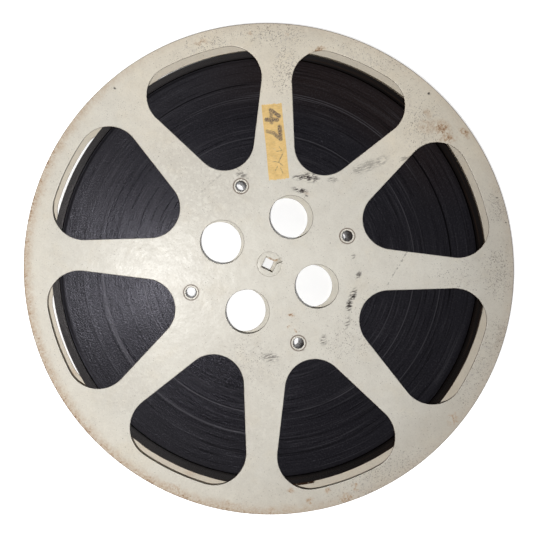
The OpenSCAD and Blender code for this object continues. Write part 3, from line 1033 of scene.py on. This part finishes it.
def spindle_bush(s, side, inner):
    """A bush with a shoulder on the flange's inner face: side 1 is the front and has a keyway."""
    cutters = [box_cutter((s.square, s.square), 0.0, 0.0, inner)]
    if side > 0:
        cutters.append(box_cutter((s.key_tip, s.key_width), math.pi / 4, s.key_tip / 2, inner))
    to_object_mode()
    bpy.ops.mesh.primitive_cylinder_add(
        vertices=BUSH_STEPS, radius=s.bush_r + s.shoulder, depth=s.shoulder_t,
        location=(0.0, 0.0, inner - side * s.shoulder_t / 2))
    bush = bpy.context.object
    bpy.ops.object.transform_apply(location=True, rotation=False, scale=False)
    boss = FRONT_HIGH.z - FRONT_LOW.z + s.bush_proud
    select_faces(bush, lambda face: face.normal.z * side > 0.9)
    bpy.ops.mesh.inset(thickness=s.shoulder)
    bpy.ops.mesh.extrude_region_move(TRANSFORM_OT_translate={"value": (0.0, 0.0, side * boss)})
    leave_edit()
    for cutter in cutters:
        apply_modifier(bush, "BOOLEAN", object=cutter, operation="DIFFERENCE", solver="EXACT")
        bpy.data.objects.remove(cutter)
    apply_modifier(
        bush, "BEVEL", width=s.bush_bevel, segments=2, limit_method="ANGLE",
        angle_limit=math.radians(50))
    face_outwards()
    return bush


class REEL_OT_bushes(bpy.types.Operator):
    """Builds the two spindle bushes, of which the front one is keyed"""

    bl_idname = "reel.bushes"
    bl_label = "Spindle bushes"

    def execute(self, context):
        s, finish = context.scene.reel_sizes, context.scene.reel_finish
        front_shades = (1.0, 1.0, 1.0), (0.99, 0.99, 0.98)
        # The rear bush is painted darker: painted shade, as it lies deep behind the front one
        rear_shades = (0.9, 0.9, 0.9), (0.78, 0.76, 0.72)
        for node, side, inner, paint in (
                ("front", 1, FRONT_LOW.z, plain_paint("Bush paint", finish, *front_shades)),
                ("rear", -1, REAR_HIGH.z,
                 plain_paint("Rear bush paint", finish, *rear_shades, BUSH_RUST))):
            bush = spindle_bush(s, side, inner)
            finish_piece(
                bush, f"{node}_bush_disc", paint, TURNED_SMOOTH,
                f"{node}_spindle_bush")
        return {"FINISHED"}


class REEL_OT_rivets(bpy.types.Operator):
    """Builds one hollow rivet and copies it to the four places"""

    bl_idname = "reel.rivets"
    bl_label = "Hollow rivets"

    def execute(self, context):
        s, finish = context.scene.reel_sizes, context.scene.reel_finish
        rim_h = RIVET_HIGH.z - FRONT_HIGH.z
        middle = (s.rivet_bore + s.rivet_rim) / 2
        reach = (s.rivet_rim - s.rivet_bore) / 2
        turns = [math.radians(t) for t in range(0, 181, 15)]
        rim = [(middle - reach * math.cos(t), rim_h * math.sin(t) ** 0.8) for t in turns]
        sink = 0.02 * MM
        profile = [(x, FRONT_HIGH.z + z) for x, z in rim]
        profile += [(s.rivet_tube, FRONT_HIGH.z - sink), (s.rivet_tube, REAR_LOW.z + sink)]
        profile += [(x, REAR_LOW.z - z) for x, z in reversed(rim)]
        places = [on_circle(s.rivet_circle, math.radians(45 + 90 * i)) for i in range(4)]
        first = spin_round(profile, RIVET_STEPS, places[0])
        metal = rivet_finish(finish)
        for i, place in enumerate(places, start=1):
            make_active(first)
            if i > 1:
                bpy.ops.object.duplicate(linked=False)
                context.object.parent = None
                shift_mesh(Vector(place) - Vector(places[0]))
            finish_piece(
                context.object, f"rivet_{i}_eyelet", metal, THIN_SMOOTH,
                f"rivet_{i}")
        return {"FINISHED"}


# Turns that stand out of the roll: radius and half width in mm
PROUD_TURNS = ((79.4, 0.5), (92.1, 0.5), (107.6, 1.1), (117.7, 0.5))

# Unevenness of the roll's faces in mm: steps along its radius, how much of the drift is kept from
# step to step, what chance adds to the drift and to a single step, and the lowest and highest face
FACE_STEPS = 150
DRIFT_KEPT = 0.82
DRIFT = 0.005
JITTER = 0.003
FACE_LOW, FACE_HIGH = -0.15, 0.19


def roll_heights(radii, rng, s):
    """Height of the film's edge above its plain face at each radius, in metres."""
    heights = []
    drift = 0.0
    for radius in radii:
        drift = DRIFT_KEPT * drift + rng.uniform(-DRIFT, DRIFT) * MM
        height = drift + rng.uniform(-JITTER, JITTER) * MM
        if any(abs(radius / MM - proud) < half for proud, half in PROUD_TURNS):
            height += s.ridge
        heights.append(max(FACE_LOW * MM, min(FACE_HIGH * MM, height)))
    return heights


class REEL_OT_film_roll(bpy.types.Operator):
    """Builds the tight roll of film, with each few turns at a height of their own"""

    bl_idname = "reel.film_roll"
    bl_label = "Film roll"

    def execute(self, context):
        s, finish = context.scene.reel_sizes, context.scene.reel_finish
        rng = random.Random(16)
        step_r = s.roll_out - s.groove
        reach = step_r - s.roll_in
        radii = [s.roll_in + reach * i / FACE_STEPS for i in range(FACE_STEPS + 1)]
        upper = [(r, s.film_high + h) for r, h in zip(radii, roll_heights(radii, rng, s))]
        lower = [(r, s.film_low - h) for r, h in zip(radii, roll_heights(radii, rng, s))]
        high, low = s.film_high - s.groove_depth, s.film_low + s.groove_depth
        step = [(step_r, high), (s.roll_out, high), (s.roll_out, low), (step_r, low)]
        roll = spin_round(upper + step + lower[::-1], ROLL_STEPS)
        material = film_finish(finish)
        finish_piece(roll, "film_roll_turns", material, TURNED_SMOOTH, "film_roll")
        return {"FINISHED"}


def film_strip(path, holes, s):
    """A strip of film along a path of x, y and lift, with holes near both edges at some steps."""
    low, high = s.film_low, s.film_high
    edge, hole = s.hole_edge, s.hole_edge + s.hole_w
    rows = [low, low + edge, low + hole, high - hole, high - edge, high]
    hole_rows = (1, 3)
    along = len(path) - 1

    def place(i, j):
        x, y, lift = path[i]
        return x, y, rows[j] + lift

    def is_hole(face):
        first = min(face.vertices)
        return first % (along + 1) in holes and first // (along + 1) in hole_rows

    strip = shaped_grid(along, len(rows) - 1, place)
    select_faces(strip, is_hole)
    bpy.ops.mesh.delete(type="FACE")
    leave_edit()
    thicken(strip, s.film_t)
    return strip


def smooth_step(low, high, value):
    """Goes smoothly from 0 at low to 1 at high."""
    share = max(0.0, min(1.0, (value - low) / (high - low)))
    return share * share * (3 - 2 * share)


def perforated(start, end, s):
    """Turns of the steps along the outer film, and which of them hold perforations."""
    turns, holes = [start], []
    pitch, hole = s.pitch / s.tail_r, s.hole_l / s.tail_r
    at = start
    while at + pitch < end:
        turns += [at + part * (pitch - hole) for part in (0.3, 0.6, 1.0)]
        holes.append(len(turns) - 1)
        at += pitch
        turns.append(at)
    turns.append(end)
    return turns, set(holes)


def loose_radius(turn, s):
    """Radius of the loose ribbon: it grows evenly, stands off at one side and is drawn in at another."""
    share = 1 + (turn - s.tail_start) / math.tau / s.loops
    radius = s.loop_start + (s.tail_r - s.loop_start) * share
    slack = s.slack * math.cos((turn - s.slack_at) / 2) ** 16
    drawn = s.drawn * math.cos((turn - s.drawn_at) / 2) ** 4
    return radius + (slack - drawn) * share


# The loose ribbon's plain steps, and how many of its outer loops have perforations
PLAIN_STEP = math.radians(2.5)
HOLED_LOOPS = 1.15


class REEL_OT_leader(bpy.types.Operator):
    """Winds the loose outer turns as one unbroken ribbon"""

    bl_idname = "reel.leader"
    bl_label = "Loose turns"

    def execute(self, context):
        s, finish = context.scene.reel_sizes, context.scene.reel_finish
        start = s.tail_start - math.tau * s.loops
        fine = s.tail_start - math.tau * HOLED_LOOPS
        steps = round((fine - start) / PLAIN_STEP)
        turns = [start + (fine - start) * i / steps for i in range(steps)]
        fine_turns, fine_holes = perforated(fine, s.tail_start, s)
        holes = {k + steps for k in fine_holes}
        path = []
        for turn in turns + fine_turns:
            wave = 0.05 * math.sin(1.7 * turn + 0.6) + 0.03 * math.sin(3.3 * turn + 2.0)
            path.append(on_circle(loose_radius(turn, s), turn, wave * MM))
        winding = film_strip(path, holes, s)
        material = leader_finish(finish)
        finish_piece(
            winding, "leader_winding_ribbon", material, THIN_SMOOTH, "leader_winding")
        return {"FINISHED"}


class REEL_OT_film_tail(bpy.types.Operator):
    """Builds the free end of the film, which bends off the roll"""

    bl_idname = "reel.film_tail"
    bl_label = "Free film end"

    def execute(self, context):
        s = context.scene.reel_sizes
        gap = 0.02 * MM / s.tail_r
        turns, holes = perforated(s.tail_start + gap, s.tail_end, s)
        path = []
        for turn in turns:
            flare = s.flare * smooth_step(s.hinge, s.tail_end, turn)
            path.append(on_circle(loose_radius(turn, s) + flare, turn))
        tail = film_strip(path, holes, s)
        material = bpy.data.materials["Loose film"]
        finish_piece(
            tail, "film_tail_strip", material, THIN_SMOOTH, "film_tail", body=None)
        middle, bend = (s.film_low + s.film_high) / 2, math.radians(3)
        ends = [on_circle(s.tail_r, t, middle) for t in (s.hinge - bend, s.hinge + bend)]
        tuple(ends[0])
        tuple(ends[1])
        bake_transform(tail)
        return {"FINISHED"}


class REEL_OT_film_head(bpy.types.Operator):
    """Builds the inner end of the film, tucked in through the core's seam"""

    bl_idname = "reel.film_head"
    bl_label = "Inner film end"

    def execute(self, context):
        s = context.scene.reel_sizes
        seam = (HEAD_LOW + HEAD_HIGH) / 2
        out = Vector(on_circle(1.0, math.atan2(seam.y, seam.x)))
        side = Vector((-out.y, out.x, 0.0))
        steps = 12
        path = []
        for i in range(steps + 1):
            share = i / steps
            wave = 0.22 * MM * math.sin(5 * share)
            path.append(out * (s.core_r - s.tuck * (1 - share)) + side * wave)
        head = film_strip(path, {5, 6}, s)
        material = bpy.data.materials["Wound film"]
        finish_piece(head, "film_head_strip", material, THIN_SMOOTH, "film_head")
        return {"FINISHED"}


# The label's mesh steps along and across it, and how uneven it is in metres: torn ends, wavy
# edges, puckers, curled ends and its lift over the flange
LABEL_STEPS = (72, 26)
TEAR = 0.45 * MM
WAVE = 0.12 * MM
PUCKER = 0.03 * MM
CURL = 0.16 * MM
LIFT = 0.09 * MM


class REEL_OT_label(bpy.types.Operator):
    """Lays the strip of tape on its spoke, with torn ends"""

    bl_idname = "reel.label"
    bl_label = "Tape label"

    def execute(self, context):
        s, finish = context.scene.reel_sizes, context.scene.reel_finish
        rng = random.Random(9)
        along, across = LABEL_STEPS
        middle, turn = label_place(s)
        placing = Matrix.Translation(middle) @ Matrix.Rotation(turn, 4, "Z")
        tears = [[rng.uniform(-TEAR, TEAR) for _ in range(across + 1)] for _ in range(2)]

        def place(i, j):
            u, v = i / along - 0.5, j / across - 0.5
            torn = 0.0
            if i <= 1:
                torn = tears[0][j]
            elif i >= along - 1:
                torn = tears[1][j]
            edge = WAVE * math.sin(9 * u + 1) * abs(2 * v)
            pucker = PUCKER * math.sin(61 * u + 7 * v) * math.sin(23 * v + 11 * u)
            curl = CURL * max(0.0, abs(2 * u) - 0.93) / 0.07 * (0.4 + v) ** 2
            flat = placing @ Vector((u * s.label_l + torn, v * s.label_w + edge, 0.0))
            return flat.x, flat.y, FRONT_HIGH.z + LIFT + pucker + curl

        label = shaped_grid(along, across, place)
        thicken(label, s.label_t)
        material = tape_finish(finish, s)
        finish_piece(label, "tape_label_strip", material, THIN_SMOOTH, "tape_label")
        return {"FINISHED"}


# Where the photograph was taken from, in mm: the camera, the point it looks at, and its lens
EYE = Vector((-54.03, -27.23, 466.78))
AIM = Vector((-61.33, -3.75, 19.5))
UP_ANGLE = math.radians(115.20)
LENS = 47.71
SHIFT = (0.1637, -0.0717)

# The key light, a small disc beside the lens: its offset in mm, its width and its power in watts
KEY_OFFSET = Vector(on_circle(27, math.radians(255)))
KEY_SIZE = 7 * MM
KEY_POWER = 1.98

# The fill light, a large soft square: its place and width in metres, and its power in watts
FILL_AT = Vector((-0.2, 0.85, 0.75))
FILL_SIZE = 0.7
FILL_POWER = 0.8

# Light of the room that falls on the reel
AMBIENT = 0.035

# Glow of the floor under the spindle hole and round the reel: two distances from the axis in
# metres, and the strengths at them
HOLE_GLOW = (8 * MM, 14 * MM, 0.03, 0.15)
ROUND_GLOW = (150 * MM, 157 * MM, 0.0, 0.63)


def white_for_eyes(n):
    """1 for camera, glossy and transmission rays, 0 for the light that falls on things."""
    path = n.add("LightPath").outputs
    seen = n.most(path["Is Camera Ray"], path["Is Glossy Ray"])
    return n.most(seen, path["Is Transmission Ray"])


def make_floor(floor_colour):
    """A pale floor that looks white round the reel, and darker under it and its spindle hole."""
    to_object_mode()
    bpy.ops.mesh.primitive_plane_add(size=8.0)
    floor = bpy.context.object
    floor.name = "floor"
    material = bpy.data.materials.new("Pale floor")
    material.use_nodes = True
    n = Nodes(material.node_tree)
    shader = n.tree.nodes["Principled BSDF"]
    n.feed(shader, {"Base Color": floor_colour, "Roughness": 0.9, "Specular IOR Level": 0.0})
    from_axis = n.vector("LENGTH", n.add("TexCoord").outputs["Object"])
    away = n.plus(n.remap(from_axis, *HOLE_GLOW), n.remap(from_axis, *ROUND_GLOW))
    glow = n.add("Emission", {"Color": WHITE, "Strength": n.times(white_for_eyes(n), away)})
    both = n.add("AddShader", {0: shader.outputs[0], 1: glow.outputs[0]})
    n.feed(n.tree.nodes["Material Output"], {"Surface": both.outputs[0]})
    floor.data.materials.append(material)


def make_world(scene):
    """A white room that gives little light."""
    scene.world = bpy.data.worlds.new("Soft room")
    scene.world.use_nodes = True
    n = Nodes(scene.world.node_tree)
    strength = n.plus(AMBIENT, n.times(white_for_eyes(n), 1.0 - AMBIENT))
    n.feed(n.tree.nodes["Background"], {"Color": WHITE, "Strength": strength})


def area_light(name, shape, size, power, at):
    """An area light that points straight down and isn't seen itself."""
    bpy.ops.object.light_add(type="AREA", location=at)
    light = bpy.context.object
    light.name = name
    light.data.shape = shape
    light.data.size = size
    light.data.energy = power
    light.visible_camera = False
    return light


def make_camera(scene):
    """The camera, where the photograph was taken from."""
    bpy.ops.object.camera_add()
    camera = bpy.context.object
    camera.name = "camera"
    back = (EYE - AIM).normalized()
    right = Vector(on_circle(1.0, UP_ANGLE)).cross(back).normalized()
    turn = Matrix((right, back.cross(right), back)).transposed().to_4x4()
    camera.matrix_world = Matrix.Translation(EYE * MM) @ turn
    camera.data.sensor_width = 36
    camera.data.lens = LENS
    camera.data.shift_x, camera.data.shift_y = SHIFT
    camera.data.clip_start = 0.01
    scene.camera = camera


class REEL_OT_stage(bpy.types.Operator):
    """Sets up the floor, the lights and the camera"""

    bl_idname = "reel.stage"
    bl_label = "Stage"

    def execute(self, context):
        scene = context.scene
        scene.view_settings.view_transform = "Standard"
        make_floor(scene.reel_finish.floor)
        make_world(scene)
        area_light("key_light", "DISK", KEY_SIZE, KEY_POWER, (EYE + KEY_OFFSET) * MM)
        fill = area_light("fill_light", "SQUARE", FILL_SIZE, FILL_POWER, FILL_AT)
        fill.rotation_euler = (-FILL_AT).to_track_quat("-Z", "Y").to_euler()
        make_camera(scene)
        return {"FINISHED"}


class REEL_PT_maker(bpy.types.Panel):
    """Lists the steps that build the reel"""

    bl_label = "Cine film reel"
    bl_idname = "REEL_PT_maker"
    bl_space_type = "VIEW_3D"
    bl_region_type = "UI"
    bl_category = "Reel"

    def draw(self, context):
        for step in STEPS:
            self.layout.operator(step.bl_idname)
        for group in (context.scene.reel_sizes, context.scene.reel_finish):
            box = self.layout.box()
            for name in group.__annotations__:
                box.prop(group, name)


STEPS = (
    REEL_OT_stage, REEL_OT_flanges, REEL_OT_core, REEL_OT_bushes, REEL_OT_rivets,
    REEL_OT_film_roll, REEL_OT_leader, REEL_OT_film_tail, REEL_OT_film_head, REEL_OT_label,
)
CLASSES = (ReelSizes, ReelFinish, *STEPS, REEL_PT_maker)


def register():
    for item in CLASSES:
        bpy.utils.register_class(item)
    bpy.types.Scene.reel_sizes = bpy.props.PointerProperty(type=ReelSizes)
    bpy.types.Scene.reel_finish = bpy.props.PointerProperty(type=ReelFinish)


def unregister():
    del bpy.types.Scene.reel_finish
    del bpy.types.Scene.reel_sizes
    for item in reversed(CLASSES):
        bpy.utils.unregister_class(item)


def main():
    """Builds the reel step by step."""
    register()
    bpy.ops.reel.stage()
    bpy.ops.reel.flanges()
    bpy.ops.reel.core()
    bpy.ops.reel.bushes()
    bpy.ops.reel.rivets()
    bpy.ops.reel.film_roll()
    bpy.ops.reel.leader()
    bpy.ops.reel.film_tail()
    bpy.ops.reel.film_head()
    bpy.ops.reel.label()
    to_object_mode()


if __name__ == "__main__":
    main()
